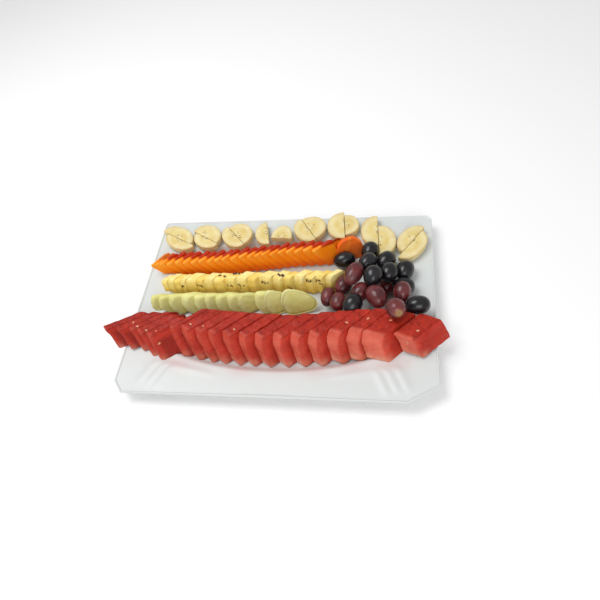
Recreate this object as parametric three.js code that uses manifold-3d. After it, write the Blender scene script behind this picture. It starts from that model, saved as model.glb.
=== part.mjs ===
// Fruit platter: a white rectangular dish that carries a row of watermelon slices, rows of honeydew,
// pineapple and papaya, a row of halved banana slices, and a heap of grapes.
// Millimetres, +Z up, X along the rows, +Y away from the watermelon. The dish stands on z = 0.
import * as THREE from 'three';
import Module from 'manifold-3d';
import { mergeVertices } from 'three/addons/utils/BufferGeometryUtils.js';

const wasm = await Module();
wasm.setup();

// ---- driving sizes --------------------------------------------------------------------------------
const DISH = {
  width: 356, depth: 252,          // 14 x 10 inches over the rim
  rim: 20, floor: 7,               // heights of the rim and of the well's floor
  wall: 4.2,                       // thickness of the ware
  corners: [                       // what each corner is cut by, along X and along Y
    { sx: 1, sy: -1, cutX: 31, cutY: 18 },
    { sx: -1, sy: -1, cutX: 11, cutY: 13.5 },
    { sx: -1, sy: 1, cutX: 2.5, cutY: 3.5 },
    { sx: 1, sy: 1, cutX: 5.5, cutY: 6 },
  ],
  wellX: 145, wellY: 96,           // half sizes of the well at the top of its wall
  bowX: 197, bowY: 364,            // radii of the bowed short sides and long sides of the well
  wallRun: 10,                     // how far the well's wall slopes inwards
  lip: 3,                          // width of the rolled lip
  ledgeFall: 2.6,                  // how far the ledge's inner edge lies below the rim
  footWidth: 6, footInset: 8,      // the foot ring under the well
};
const rad = THREE.MathUtils.degToRad;
const FLUTE = {
  count: 3, step: 11, stagger: 2,  // ridges per corner, and how each is set off from the one before
  height: 1.7, width: 4.2,
  apexX: 114, apexY: 91,           // where the first one starts, in the corner's own quarter
  heading: rad(-66), rises: [-6, 4], fades: [24, 34],
};

const GAP = 0.3;                   // room that touching pieces keep

// ---- colours and finishes -------------------------------------------------------------------------
const finish = (color, roughness) => new THREE.MeshStandardMaterial({ color, roughness, metalness: 0 });
const FINISH = {
  ware: finish(0xeceeea, 0.16),
  watermelon: finish(0xc23a30, 0.38),
  banana: finish(0xe6d69c, 0.5),
  papaya: finish(0xef7a1c, 0.35),
  pineapple: finish(0xe6cf62, 0.4),
  honeydew: finish(0xcfd08a, 0.38),
  blackGrape: finish(0x15161c, 0.22),
  redGrape: finish(0x6a2a35, 0.3),
};

// ---- small helpers --------------------------------------------------------------------------------
const mix = THREE.MathUtils.lerp;
const part = new THREE.Group();

function addPiece(name, geometry, material, place = new THREE.Matrix4()) {
  const mesh = new THREE.Mesh(geometry, material);
  mesh.name = name;
  mesh.applyMatrix4(place);
  part.add(mesh);
}

// The frame of a leaning slice: s runs along it, t up its cut face, n out of that face.
// turn is the angle of s from +X, and lean tips the top back.
function sliceFrame([x, y, z], turn, lean) {
  const spin = new THREE.Matrix4().makeRotationZ(rad(turn));
  const stand = new THREE.Matrix4().makeRotationX(rad(90 - lean));
  return new THREE.Matrix4().makeTranslation(x, y, z).multiply(spin).multiply(stand);
}

// A slice whose cut face is a closed list of (s, t) corners. It lies behind that face, its top and
// bottom stay level when it leans, and skewAt(s) tells how far its hidden face slides along s.
function slab(corners, thickness, lean, skewAt = () => 0) {
  const shape = new THREE.Shape(corners.map(([s, t]) => new THREE.Vector2(s, t)));
  const solid = new THREE.ExtrudeGeometry(shape, { depth: thickness, bevelEnabled: false, steps: 1 });
  solid.translate(0, 0, -thickness);
  const points = solid.attributes.position;
  for (let i = 0; i < points.count; i += 1) {
    const [s, t, n] = [points.getX(i), points.getY(i), points.getZ(i)];
    points.setXY(i, s + skewAt(s) * n, t - Math.tan(rad(lean)) * n);
  }
  return solid;
}

// The value of a named field at x, between the two nearest stations of a list sorted by x.
function along(stations, x, field) {
  const next = stations.findIndex((station) => station.x >= x);
  if (next === 0) return stations[0][field];
  if (next === -1) return stations[stations.length - 1][field];
  const [from, to] = [stations[next - 1], stations[next]];
  return mix(from[field], to[field], (x - from.x) / (to.x - from.x));
}

// Places of a shingled row: each slice's front corner, how it turns and leans, and its thickness,
// which is the room between its own cut face and that of the slice before it.
function shingle(row) {
  const fields = Object.keys(row.stations[0]).filter((field) => field !== 'x');
  const places = row.fronts.map((x) => {
    const values = fields.map((field) => [field, along(row.stations, x, field)]);
    return { x, ...Object.fromEntries(values) };
  });
  return places.map((place, index) => {
    const [from, to] = index > 0 ? [places[index - 1], place] : [place, places[1]];
    const step = (to.x - from.x) * Math.sin(rad(place.turn)) - (to.y - from.y) * Math.cos(rad(place.turn));
    const thickness = Math.min(step * Math.cos(rad(place.lean)), row.thickest) + row.press;
    return { ...place, thickness, frame: sliceFrame([place.x, place.y, place.z], place.turn, place.lean) };
  });
}

function toManifold(geometry, place = new THREE.Matrix4()) {
  const bare = geometry.clone().applyMatrix4(place);
  bare.deleteAttribute('normal');
  bare.deleteAttribute('uv');
  const merged = mergeVertices(bare, 1e-4);
  const mesh = { numProp: 3, vertProperties: merged.attributes.position.array };
  mesh.triVerts = new Uint32Array(merged.index.array);
  return new wasm.Manifold(new wasm.Mesh(mesh));
}

function fromManifold(solid) {
  const mesh = solid.getMesh();
  const geometry = new THREE.BufferGeometry();
  geometry.setAttribute('position', new THREE.BufferAttribute(mesh.vertProperties, 3));
  geometry.setIndex(new THREE.BufferAttribute(mesh.triVerts, 1));
  return geometry;
}

// ---- the dish -------------------------------------------------------------------------------------
// Distance from the centre to the cut-cornered outline in the direction of an angle.
function rimReach(angle) {
  const [c, s] = [Math.cos(angle), Math.sin(angle)];
  const reaches = [DISH.width / 2 / Math.abs(c), DISH.depth / 2 / Math.abs(s)];
  for (const { sx, sy, cutX, cutY } of DISH.corners) {
    const across = (sx * c) / cutX + (sy * s) / cutY;
    if (across > 0) reaches.push((DISH.width / 2 / cutX + DISH.depth / 2 / cutY - 1) / across);
  }
  return Math.min(...reaches);
}

// Distance to one bowed side of the well: a circle whose nearest point lies `half` along the axis.
function bowReach(along, half, radius) {
  const centre = half - radius;
  return centre * along + Math.sqrt(radius * radius - centre * centre * (1 - along * along));
}

// The well's outline: four bowed sides, blended so that the corners between them are rounded.
function wellReach(angle) {
  const [c, s] = [Math.cos(angle), Math.sin(angle)];
  const sharp = 16;
  const sides = [[c, DISH.wellX, DISH.bowX], [-c, DISH.wellX, DISH.bowX],
    [s, DISH.wellY, DISH.bowY], [-s, DISH.wellY, DISH.bowY]];
  const total = sides.reduce((sum, side) => sum + bowReach(...side) ** -sharp, 0);
  return total ** (-1 / sharp);
}

// Height of the pressed flutes: in each corner of the rim three ridges, side by side, run outwards.
function fluteHeight(x, y) {
  const [ax, ay] = [Math.abs(x), Math.abs(y)];
  let height = 0;
  for (let k = 0; k < FLUTE.count; k += 1) {
    const dx = ax - (FLUTE.apexX + FLUTE.step * k);
    const dy = -ay + FLUTE.apexY - FLUTE.stagger * k;
    const along = dx * Math.cos(FLUTE.heading) + dy * Math.sin(FLUTE.heading);
    const across = -dx * Math.sin(FLUTE.heading) + dy * Math.cos(FLUTE.heading);
    const start = THREE.MathUtils.smoothstep(along, ...FLUTE.rises);
    const ends = start * (1 - THREE.MathUtils.smoothstep(along, ...FLUTE.fades));
    height += FLUTE.height * ends * Math.exp(-((across / FLUTE.width) ** 2));
  }
  return height;
}

// The dish's section as rings from the centre of the floor over the rim to the centre underneath.
function dishRings(angle) {
  const rim = rimReach(angle);
  const well = wellReach(angle);
  const foot = well - DISH.wallRun;
  const { floor, rim: top, wall, lip, ledgeFall, footInset, footWidth } = DISH;
  const lipStart = rim - lip;
  const ledge = (share) => [mix(well, lipStart, share), top - mix(ledgeFall, 1, share), 1];
  const wallInside = [[foot - 6, floor], [foot, floor + 1.2], [well - 3, top - 4.5]];
  const rolledLip = [[rim - lip * 0.6, top], [rim - 0.7, top], [rim, top - 1.1], [rim - 0.4, top - 3.4]];
  const wallOutside = [[well + 2, top - ledgeFall - wall], [foot + 3, floor - 2.7], [foot - 3, floor - wall]];
  const ringOut = foot - footInset;
  const ringIn = ringOut - footWidth - 1;
  const footRing = [[ringOut, floor - wall], [ringOut - 1, 0], [ringIn, 0], [ringIn - 1, floor - wall]];
  return [
    [foot * 0.5, floor], ...wallInside, ...[0, 0.2, 0.4, 0.6, 0.8, 1].map(ledge), ...rolledLip,
    [lipStart, top - 1 - wall], ...wallOutside, ...footRing, [foot * 0.5, floor - wall],
  ];
}

// A closed solid swept round the centre: its section, and the height where that ends underneath.
function dishSolid(section, under, steps) {
  const angles = Array.from({ length: steps }, (_, i) => (i / steps) * 2 * Math.PI);
  for (const { sx, sy, cutX, cutY } of DISH.corners) {
    angles.push(Math.atan2(sy * DISH.depth / 2, sx * (DISH.width / 2 - cutX)));
    angles.push(Math.atan2(sy * (DISH.depth / 2 - cutY), sx * DISH.width / 2));
  }
  const order = angles.map((a) => (a + 2 * Math.PI) % (2 * Math.PI)).sort((a, b) => a - b);
  const count = order.length;
  const positions = [0, 0, DISH.floor];
  const rings = section(0).length;
  for (const angle of order) {
    for (const [reach, height, fluted] of section(angle)) {
      const [x, y] = [reach * Math.cos(angle), reach * Math.sin(angle)];
      positions.push(x, y, height + (fluted ? fluteHeight(x, y) : 0));
    }
  }
  positions.push(0, 0, under);
  const last = positions.length / 3 - 1;
  const at = (i, ring) => 1 + (i % count) * rings + ring;
  const faces = [];
  for (let i = 0; i < count; i += 1) {
    faces.push(0, at(i, 0), at(i + 1, 0));
    for (let ring = 0; ring < rings - 1; ring += 1) {
      faces.push(at(i, ring), at(i, ring + 1), at(i + 1, ring + 1));
      faces.push(at(i, ring), at(i + 1, ring + 1), at(i + 1, ring));
    }
    faces.push(last, at(i + 1, rings - 1), at(i, rings - 1));
  }
  const geometry = new THREE.BufferGeometry();
  geometry.setAttribute('position', new THREE.Float32BufferAttribute(positions, 3));
  geometry.setIndex(faces);
  return geometry;
}

addPiece('platter', dishSolid(dishRings, DISH.floor - DISH.wall, 60), FINISH.ware);

// What lies on the dish is trimmed to its curves by this: its upper side, raised by the gap, over a
// block that reaches far down.
const DEEP = -60;
function bedRings(angle) {
  const { rim, floor, lip, wallRun } = DISH;
  const [edge, well] = [rimReach(angle), wellReach(angle)];
  const foot = well - wallRun;
  const inside = [[foot - 4, floor + GAP], [foot + 1.5, floor + 3], [well - 2, rim - 2.4 + GAP]];
  const outside = [[edge - lip, rim - 1 + GAP], [edge - 1.6, rim + GAP], [edge + GAP, rim + GAP]];
  return [...inside, ...outside, [edge + GAP, DEEP]];
}
const dishBed = toManifold(dishSolid(bedRings, DEEP, 24));

// ---- watermelon -----------------------------------------------------------------------------------
// Shingled slabs of a wedge whose ends are lower. Their front corners lie on a bowed line. skew slides
// the front of a slice's hidden face, and fan its back, which makes the row's back edge straight.
const MELON = {
  fronts: [-183, -167, -151, -138, -125, -103, -85, -69, -55, -37, -20, -2, 18, 37, 56.5, 79, 101, 127, 162],
  stations: [
    { x: -183, y: -73, z: 21, turn: 26, lean: 30, slope: -5, length: 56, skew: 0.3, fan: 1.5 },
    { x: -151, y: -76, z: 20, turn: 29, lean: 31, slope: -2, length: 56, skew: 0.3, fan: 1.7 },
    { x: -125, y: -88, z: 14, turn: 33, lean: 31, slope: 1, length: 51, skew: 0.3, fan: 1.5 },
    { x: -103, y: -79, z: 8, turn: 35, lean: 31, slope: 3, length: 48, skew: 0.3, fan: 1.4 },
    { x: -50, y: -85, z: 8, turn: 39, lean: 27, slope: 6, length: 48, skew: 0.3, fan: 1.2 },
    { x: 0, y: -87, z: 8, turn: 40, lean: 22, slope: 7.5, length: 49, skew: 0.3, fan: 1.2 },
    { x: 56, y: -84, z: 8, turn: 42, lean: 22, slope: 10, length: 50, skew: 0.35, fan: 1.15 },
    { x: 101, y: -78, z: 10, turn: 44, lean: 22, slope: 12, length: 42, skew: 0.7, fan: 1 },
    { x: 127, y: -82, z: 17, turn: 44, lean: 28, slope: 9, length: 42, skew: 0.7, fan: 0.8 },
    { x: 162, y: -77, z: 21, turn: 42, lean: 29, slope: -3, length: 39, skew: 0.6, fan: 0.6 },
  ],
  top: 45, run: 4, bevel: 0.72, thickest: 22, press: -0.5,
};

// The cut face: a long foot, a level top, a sloping front with a second facet under its upper edge.
function melonFace({ z, lean, slope, length }) {
  const rise = (MELON.top - z) / Math.cos(rad(lean));
  const back = slope + length;
  return [[0, 0], [back + MELON.run, 0], [back, rise], [slope, rise], [slope * 0.3, rise * MELON.bevel]];
}

// Everything on the far side of a slice's hidden face, less the gap that its neighbour keeps to it.
function beyond({ thickness, lean, frame }) {
  const [wide, deep] = [150, 60];
  const block = slab([[-wide, -wide], [wide, -wide], [wide, wide], [-wide, wide]], deep, lean);
  const back = deep - thickness - GAP;
  const shift = new THREE.Matrix4().makeTranslation(0, -Math.tan(rad(lean)) * back, back);
  return toManifold(block, frame.clone().multiply(shift));
}

shingle(MELON).forEach((place, index, all) => {
  const { thickness, lean, slope, length, skew, fan } = place;
  const skewAt = (s) => mix(skew, fan, Math.min(Math.max((s - slope) / length, 0), 1));
  const whole = toManifold(slab(melonFace(place), thickness, lean, skewAt), place.frame);
  const next = all[index + 1];
  const clear = next ? whole.subtract(beyond(next)) : whole;
  addPiece(`watermelon_${index + 1}`, fromManifold(clear.subtract(dishBed)), FINISH.watermelon);
});

// ---- rows of thin slices pressed together -----------------------------------------------------------
// Each row is one solid: its slices touch over their whole faces.
function pressedRow(name, row, face, material, limit) {
  const slices = shingle(row).map((place) => {
    const size = along(row.stations, place.x, 'size');
    const outline = face.map(([s, t]) => [s * size, t * size]);
    return toManifold(slab(outline, place.thickness, place.lean, () => row.skew), place.frame);
  });
  const joined = slices.reduce((sum, slice) => sum.add(slice)).subtract(dishBed);
  addPiece(name, fromManifold(limit ? joined.subtract(limit) : joined), material);
}

const HONEYDEW = {
  fronts: [-151, -141, -126, -109, -94, -82, -68, -54, -44, -23, -14, 5],
  stations: [
    { x: -152, y: -21.5, z: 8, turn: 38, lean: 26, size: 0.95 },
    { x: -51, y: -20.5, z: 8, turn: 32, lean: 26, size: 0.98 },
    { x: 5, y: -18.5, z: 8, turn: 10, lean: 26, size: 1.18 },
  ],
  skew: 0.6, thickest: 10, press: 3,
};
const HONEYDEW_FACE = [[7, 0], [28, 2], [35, 6], [35, 14], [22, 23.5], [8, 29], [3, 25], [0, 14], [2, 5]];

const PINEAPPLE = {
  fronts: [-143, -135, -127, -120, -106, -97, -85, -71, -57, -43, -31, -13, 0, 12, 26, 38, 50, 60],
  stations: [
    { x: -143, y: 11.5, z: 8, turn: 50, lean: 8, size: 0.9 },
    { x: -70, y: 11.5, z: 8, turn: 46, lean: 8, size: 0.94 },
    { x: 60, y: 13.5, z: 8, turn: 36, lean: 8, size: 1 },
  ],
  skew: 0.75, thickest: 12, press: 1,
};
const PINEAPPLE_FACE = [[0, 0], [24, 0], [27, 12], [20, 27], [6, 28.5], [2.5, 25], [0.5, 14]];

const PAPAYA = {
  fronts: [-165, -159, -153, -144, -133, -123, -113, -103, -93, -83, -74, -63, -52, -42, -33, -24, -14, -4,
    6, 16, 27, 38, 48],
  stations: [
    { x: -165, y: 30, z: 9, turn: 32, lean: 18, size: 1.14 },
    { x: -100, y: 34, z: 9, turn: 29, lean: 18, size: 1.1 },
    { x: 0, y: 47, z: 9, turn: 26, lean: 16, size: 1.13 },
    { x: 45, y: 50, z: 9, turn: 24, lean: 14, size: 1.13 },
  ],
  skew: 0, thickest: 9, press: 1,
};
const PAPAYA_FACE = [[14, 0], [24, 0], [27, 9], [27, 20], [24, 29], [19, 29], [0, 25]];

// The last papaya slice lies open against the row: a half round with its cut face showing.
const PAPAYA_END = { at: [65, 60, 8], turn: 20, lean: 14, radius: 16.5, rise: 15, thickness: 5, arc: 9 };

function papayaEndFace({ radius, rise, arc }) {
  const bow = Array.from({ length: arc }, (_, i) => Math.PI * (i / (arc - 1)));
  const round = bow.map((a) => [radius * (1 + Math.cos(a)), rise + radius * Math.sin(a)]);
  return [[1, 0], [2 * radius, 0], ...round];
}

const endPlace = { ...PAPAYA_END, frame: sliceFrame(PAPAYA_END.at, PAPAYA_END.turn, PAPAYA_END.lean) };
const endSlab = slab(papayaEndFace(PAPAYA_END), endPlace.thickness, endPlace.lean);
const endSlice = toManifold(endSlab, endPlace.frame);

pressedRow('honeydew_row', HONEYDEW, HONEYDEW_FACE, FINISH.honeydew);
pressedRow('pineapple_row', PINEAPPLE, PINEAPPLE_FACE, FINISH.pineapple);
pressedRow('papaya_row', PAPAYA, PAPAYA_FACE, FINISH.papaya, beyond(endPlace));
addPiece('papaya_end', fromManifold(endSlice.subtract(dishBed)), FINISH.papaya);

// ---- banana ---------------------------------------------------------------------------------------
// Slices cut on the slant and then halved. Each has the middle and the direction of its straight cut;
// each half has [how far it bulges from the cut, negative to the right of that direction; its length
// along the cut; how far it has slid along it].
const BANANA = { thickness: 8, bevel: 1.2, arc: 9, rest: 20.6, kerf: 0.4 };
const BANANA_SLICES = [
  { x: -150, y: 90.5, heading: -27, halves: [[18, 50, -2], [-15, 46, 6]] },
  { x: -112, y: 91, heading: -30, halves: [[21, 42, 0], [-15, 38, 4]] },
  { x: -70, y: 93, heading: -48, halves: [[-17, 42, 0], [22, 38, 1]] },
  { x: -27, y: 96, heading: -77, halves: [[-17, 38, 0]] },
  { x: -10, y: 86, heading: -5, halves: [[22, 27, 1]] },
  { x: 25, y: 101, heading: -57, halves: [[-18, 42, 0], [23, 38, 0]] },
  { x: 71, y: 105, heading: -85, halves: [[-22, 44, -1], [18, 34, -1]] },
  { x: 113, y: 91, heading: -87, halves: [[-21, 48, -5], [21, 48, 12]] },
  { x: 154.5, y: 78, heading: -125, halves: [[-18, 46, -2], [17, 50, 6]] },
];

function bananaHalf([bulge, length, slide]) {
  const { thickness, bevel, arc, kerf } = BANANA;
  const side = Math.sign(bulge);
  const reach = Math.abs(bulge) - 2 * bevel - kerf / 2;
  const points = Array.from({ length: arc + 1 }, (_, i) => {
    const angle = Math.PI * (i / arc);
    const bow = bevel + kerf / 2 + reach * Math.sin(angle);
    return new THREE.Vector2(slide + (length / 2 - bevel) * Math.cos(angle), side * bow);
  });
  const solid = new THREE.ExtrudeGeometry(new THREE.Shape(points), {
    depth: thickness - 2 * bevel, bevelThickness: bevel, bevelSize: bevel, bevelSegments: 1, steps: 1,
  });
  return solid.translate(0, 0, bevel);
}

let bananaCount = 0;
for (const { x, y, heading, halves } of BANANA_SLICES) {
  const place = new THREE.Matrix4().makeTranslation(x, y, BANANA.rest);
  place.multiply(new THREE.Matrix4().makeRotationZ(rad(heading)));
  for (const half of halves) {
    bananaCount += 1;
    addPiece(`banana_${bananaCount}`, bananaHalf(half), FINISH.banana, place);
  }
}

// ---- grapes ---------------------------------------------------------------------------------------
// A heap at the right-hand end. Each grape has its middle, the heading and the upward tilt of its long
// axis, its length along it and its width.
const GRAPES = {
  black: [
    { at: [73, 54.5, 21.5], heading: 10, tilt: 0, length: 27, width: 21 },
    { at: [104, 61.5, 28.5], heading: 80, tilt: 10, length: 25, width: 21 },
    { at: [102, 39, 36.5], heading: 60, tilt: 0, length: 25, width: 20 },
    { at: [157.5, -24, 41.5], heading: 8, tilt: 0, length: 26, width: 20.5 },
    { at: [87.5, -22, 40], heading: 60, tilt: 10, length: 25, width: 21.5 },
    { at: [142.5, 10, 28], heading: 10, tilt: 0, length: 26, width: 20.5 },
    { at: [144.5, 33, 28], heading: 70, tilt: 0, length: 25, width: 20.5 },
    { at: [126.5, 23, 37.5], heading: 80, tilt: 0, length: 25, width: 20.5 },
    { at: [123, 45.5, 30], heading: 60, tilt: 0, length: 26, width: 21 },
    { at: [109, 12, 45.5], heading: 80, tilt: 20, length: 25, width: 21.5 },
  ],
  red: [
    { at: [74.5, 13.5, 26], heading: 75, tilt: 0, length: 25, width: 20 },
    { at: [57, -1, 23.5], heading: 85, tilt: 10, length: 24, width: 17 },
    { at: [70.5, -13.5, 31], heading: 80, tilt: 0, length: 23, width: 19.5 },
    { at: [142.5, -23.5, 27], heading: 60, tilt: 0, length: 23, width: 18.5 },
    { at: [124.5, 18, 17.5], heading: 60, tilt: 0, length: 24, width: 20 },
    { at: [95, -0.5, 32.5], heading: 60, tilt: 0, length: 24, width: 20 },
    { at: [141, -6.5, 40.5], heading: 80, tilt: 20, length: 24, width: 19.5 },
    { at: [87.5, 17.5, 43], heading: 64, tilt: 5, length: 30, width: 20 },
    { at: [134, -37.5, 56], heading: -70, tilt: 25, length: 24, width: 21 },
    { at: [113.5, -14, 43], heading: 118, tilt: 0, length: 28.5, width: 22 },
  ],
};
const GRAPE_SIDES = 8;
const GRAPE_BANDS = 6;

function grapeGeometry({ length, width }) {
  const ball = new THREE.SphereGeometry(0.5, GRAPE_SIDES, GRAPE_BANDS);
  return ball.scale(width, width, length);
}

function grapePlace({ at, heading, tilt }) {
  const place = new THREE.Matrix4().makeTranslation(...at);
  place.multiply(new THREE.Matrix4().makeRotationZ(rad(heading)));
  return place.multiply(new THREE.Matrix4().makeRotationY(rad(90 - tilt)));
}

for (const [kind, grapes] of Object.entries(GRAPES)) {
  const skin = kind === 'black' ? FINISH.blackGrape : FINISH.redGrape;
  grapes.forEach((grape, index) => {
    addPiece(`grape_${kind}_${index + 1}`, grapeGeometry(grape), skin, grapePlace(grape));
  });
}

// ---- placing the whole ------------------------------------------------------------------------------
// The middle of the bounding box comes over the origin, and the foot ring stands on z = 0.
const bounds = new THREE.Box3().setFromObject(part);
const middle = bounds.getCenter(new THREE.Vector3());
for (const mesh of part.children) mesh.position.sub(new THREE.Vector3(middle.x, middle.y, bounds.min.z));

export default part;
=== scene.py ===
# %% [markdown]
# # A fruit platter
# A white rectangular dish carries a fan of watermelon slices, rows of honeydew, pineapple and papaya, a row
# of halved banana slices and a heap of grapes. Every shape is a function of two parameters that is worked
# out with whole arrays, and every colour comes from nodes.

import bpy
import numpy as np
from mathutils import Matrix, Vector


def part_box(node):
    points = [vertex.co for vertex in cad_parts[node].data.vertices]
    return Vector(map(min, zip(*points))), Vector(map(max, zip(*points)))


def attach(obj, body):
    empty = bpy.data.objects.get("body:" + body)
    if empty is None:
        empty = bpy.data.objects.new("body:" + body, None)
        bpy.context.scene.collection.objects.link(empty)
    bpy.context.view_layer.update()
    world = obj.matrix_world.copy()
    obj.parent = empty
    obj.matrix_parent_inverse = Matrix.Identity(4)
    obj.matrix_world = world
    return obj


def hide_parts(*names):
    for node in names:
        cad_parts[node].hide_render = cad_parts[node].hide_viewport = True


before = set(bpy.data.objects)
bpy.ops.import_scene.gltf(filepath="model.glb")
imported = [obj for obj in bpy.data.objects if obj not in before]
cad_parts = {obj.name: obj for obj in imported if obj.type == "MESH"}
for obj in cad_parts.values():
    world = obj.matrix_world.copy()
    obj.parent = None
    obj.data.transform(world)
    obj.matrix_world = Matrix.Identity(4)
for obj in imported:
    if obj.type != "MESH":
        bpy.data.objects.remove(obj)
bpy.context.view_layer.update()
print("nodes in the frame:", len(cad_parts))

# %% [markdown]
# ## Units and helpers
# The sizes below are in millimetres from the dish's middle, on the table. Blender works in metres, in the
# row's frame, so `to_row` scales a point and adds the place of the dish.

# %% Units, colours, noise
MM = 0.001
dish_low, dish_high = (np.array(corner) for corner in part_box("platter"))
DISH_MIDDLE = (dish_low + dish_high) / 2 * [1, 1, 0]


def to_row(points):
    """Millimetres from the dish's middle, as an array, to metres in the row's frame."""
    return np.asarray(points, float) * MM + DISH_MIDDLE


def linear(red, green, blue):
    """A colour given in display values from 0 to 255, as the linear values that shaders use."""
    value = np.array([red, green, blue]) / 255
    return np.where(value <= 0.04045, value / 12.92, ((value + 0.055) / 1.055) ** 2.4)


def waves(points, size, seed, count=14):
    """Smooth noise between about -1 and 1: the mean of sine waves about `size` mm long that run in
    random directions, each with its own phase."""
    random = np.random.default_rng(seed)
    heading = random.normal(size=(count, 3))
    heading /= np.linalg.norm(heading, axis=1, keepdims=True)
    pace = 2 * np.pi / (size * random.uniform(0.6, 1.6, count))
    phase = random.uniform(0, 2 * np.pi, count)
    return np.sin(points @ (heading * pace[:, None]).T + phase).mean(axis=1) * 2.2


def rough(points, size, depth, seed):
    """The points moved by smooth noise along each axis, `depth` mm at most or so."""
    return points + depth * np.stack([waves(points, size, seed + k) for k in range(3)], axis=1)


def step(value, start, end):
    """0 before start, 1 after end, with a smooth rise between them."""
    share = np.clip((value - start) / (end - start), 0, 1)
    return share * share * (3 - 2 * share)


def blend(a, b, share):
    """Colours a and b mixed by an array of shares."""
    return a + (b - a) * np.asarray(share)[:, None]


print("the dish is", np.round((dish_high - dish_low) / MM, 1), "mm")

# %% [markdown]
# ## From grids to meshes
# Cut fruit could be modelled by hand from boxes, but then no slice could be moved without doing it again. A
# closed surface here is a stack of rings with the same number of points, and a point that closes it at each
# end. `rings_mesh` makes the faces, `make_piece` makes the object, and each vertex carries its own flesh
# colour in an attribute that the material reads.

# %% Mesh helpers
def rings_mesh(rings, first, last):
    """Points and quads of a closed surface. rings has the shape (ring, point, 3) and each ring runs
    anticlockwise seen from the end of the stack. first and last are the points that close it."""
    count, around = rings.shape[:2]
    points = np.vstack([rings.reshape(-1, 3), [first, last]])
    ring, spot = np.meshgrid(np.arange(count - 1), np.arange(around), indexing="ij")
    here = ring * around + spot
    beside = ring * around + (spot + 1) % around
    quads = np.stack([here, beside, beside + around, here + around], axis=-1).reshape(-1, 4)
    spot = np.arange(around)
    beside = (spot + 1) % around
    top = (count - 1) * around
    low_fan = np.stack([beside, spot, np.full(around, count * around)], axis=1)
    high_fan = np.stack([spot + top, beside + top, np.full(around, count * around + 1)], axis=1)
    return points, quads.tolist() + low_fan.tolist() + high_fan.tolist()


def joined(parts):
    """Several (points, faces, colours) as one, with each part's faces counted on from the points before."""
    points, faces, colours, start = [], [], [], 0
    for some_points, some_faces, some_colours in parts:
        points.append(some_points)
        faces += [[index + start for index in face] for face in some_faces]
        colours.append(some_colours)
        start += len(some_points)
    return np.vstack(points), faces, np.vstack(colours)


def make_piece(name, points, faces, material, colours=None, nodes=(), sharp=50):
    """A mesh object from points in mm, that rides on the one body and stands for the named CAD nodes."""
    mesh = bpy.data.meshes.new(name)
    mesh.from_pydata(to_row(points).tolist(), [], faces)
    mesh.validate()
    if colours is not None:
        layer = mesh.attributes.new("flesh", "FLOAT_COLOR", "POINT")
        layer.data.foreach_set("color", np.column_stack([colours, np.ones(len(colours))]).ravel())
    mesh.polygons.foreach_set("use_smooth", np.ones(len(mesh.polygons), bool))
    mesh.set_sharp_from_angle(angle=np.radians(sharp))
    mesh.materials.append(material)
    piece = bpy.data.objects.new(name, mesh)
    bpy.context.scene.collection.objects.link(piece)
    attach(piece, "root")
    if nodes:
        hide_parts(*nodes)
    return piece


print("mesh helpers are ready")

# %% [markdown]
# ## The camera
# The dish is seen from the front and well above, a little from the right, and the camera is rolled, so that
# the dish's long side climbs to the right. A Track To constraint could aim the camera, but it can't roll it.
# So the view is set by an azimuth, an elevation, a roll, the point that it looks at and a distance, and the
# camera's three directions are worked out from them.

# %% Camera
AZIMUTH, ELEVATION, ROLL = np.radians([18.688, 54.359, 15.346])
TARGET = np.array([23.935, -3.070, 20.0])
DISTANCE = 587.98
LENS, SENSOR = 30.12, 36.0

flat_share = np.cos(ELEVATION)
away = np.array([np.sin(AZIMUTH) * flat_share, -np.cos(AZIMUTH) * flat_share, np.sin(ELEVATION)])
level = np.cross(-away, [0, 0, 1])
level /= np.linalg.norm(level)
upright = np.cross(level, -away)
right = np.cos(ROLL) * level - np.sin(ROLL) * upright
upward = np.sin(ROLL) * level + np.cos(ROLL) * upright

camera = bpy.data.objects.new("camera", bpy.data.cameras.new("camera"))
camera.data.lens, camera.data.sensor_width = LENS, SENSOR
turned = Matrix([[*row] for row in np.column_stack([right, upward, away])]).to_4x4()
camera.matrix_world = Matrix.Translation(Vector(to_row(TARGET + away * DISTANCE))) @ turned
bpy.context.scene.collection.objects.link(camera)
bpy.context.scene.camera = camera
print("camera at", np.round(camera.location, 3))

# %% [markdown]
# ## Materials
# Nodes can be added by hand in the shader editor. Here a small class adds them by name and links them in one
# call, which keeps each finish down to a few lines. Every pattern reads object coordinates, so it stays on
# its piece whatever the view is.

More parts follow.
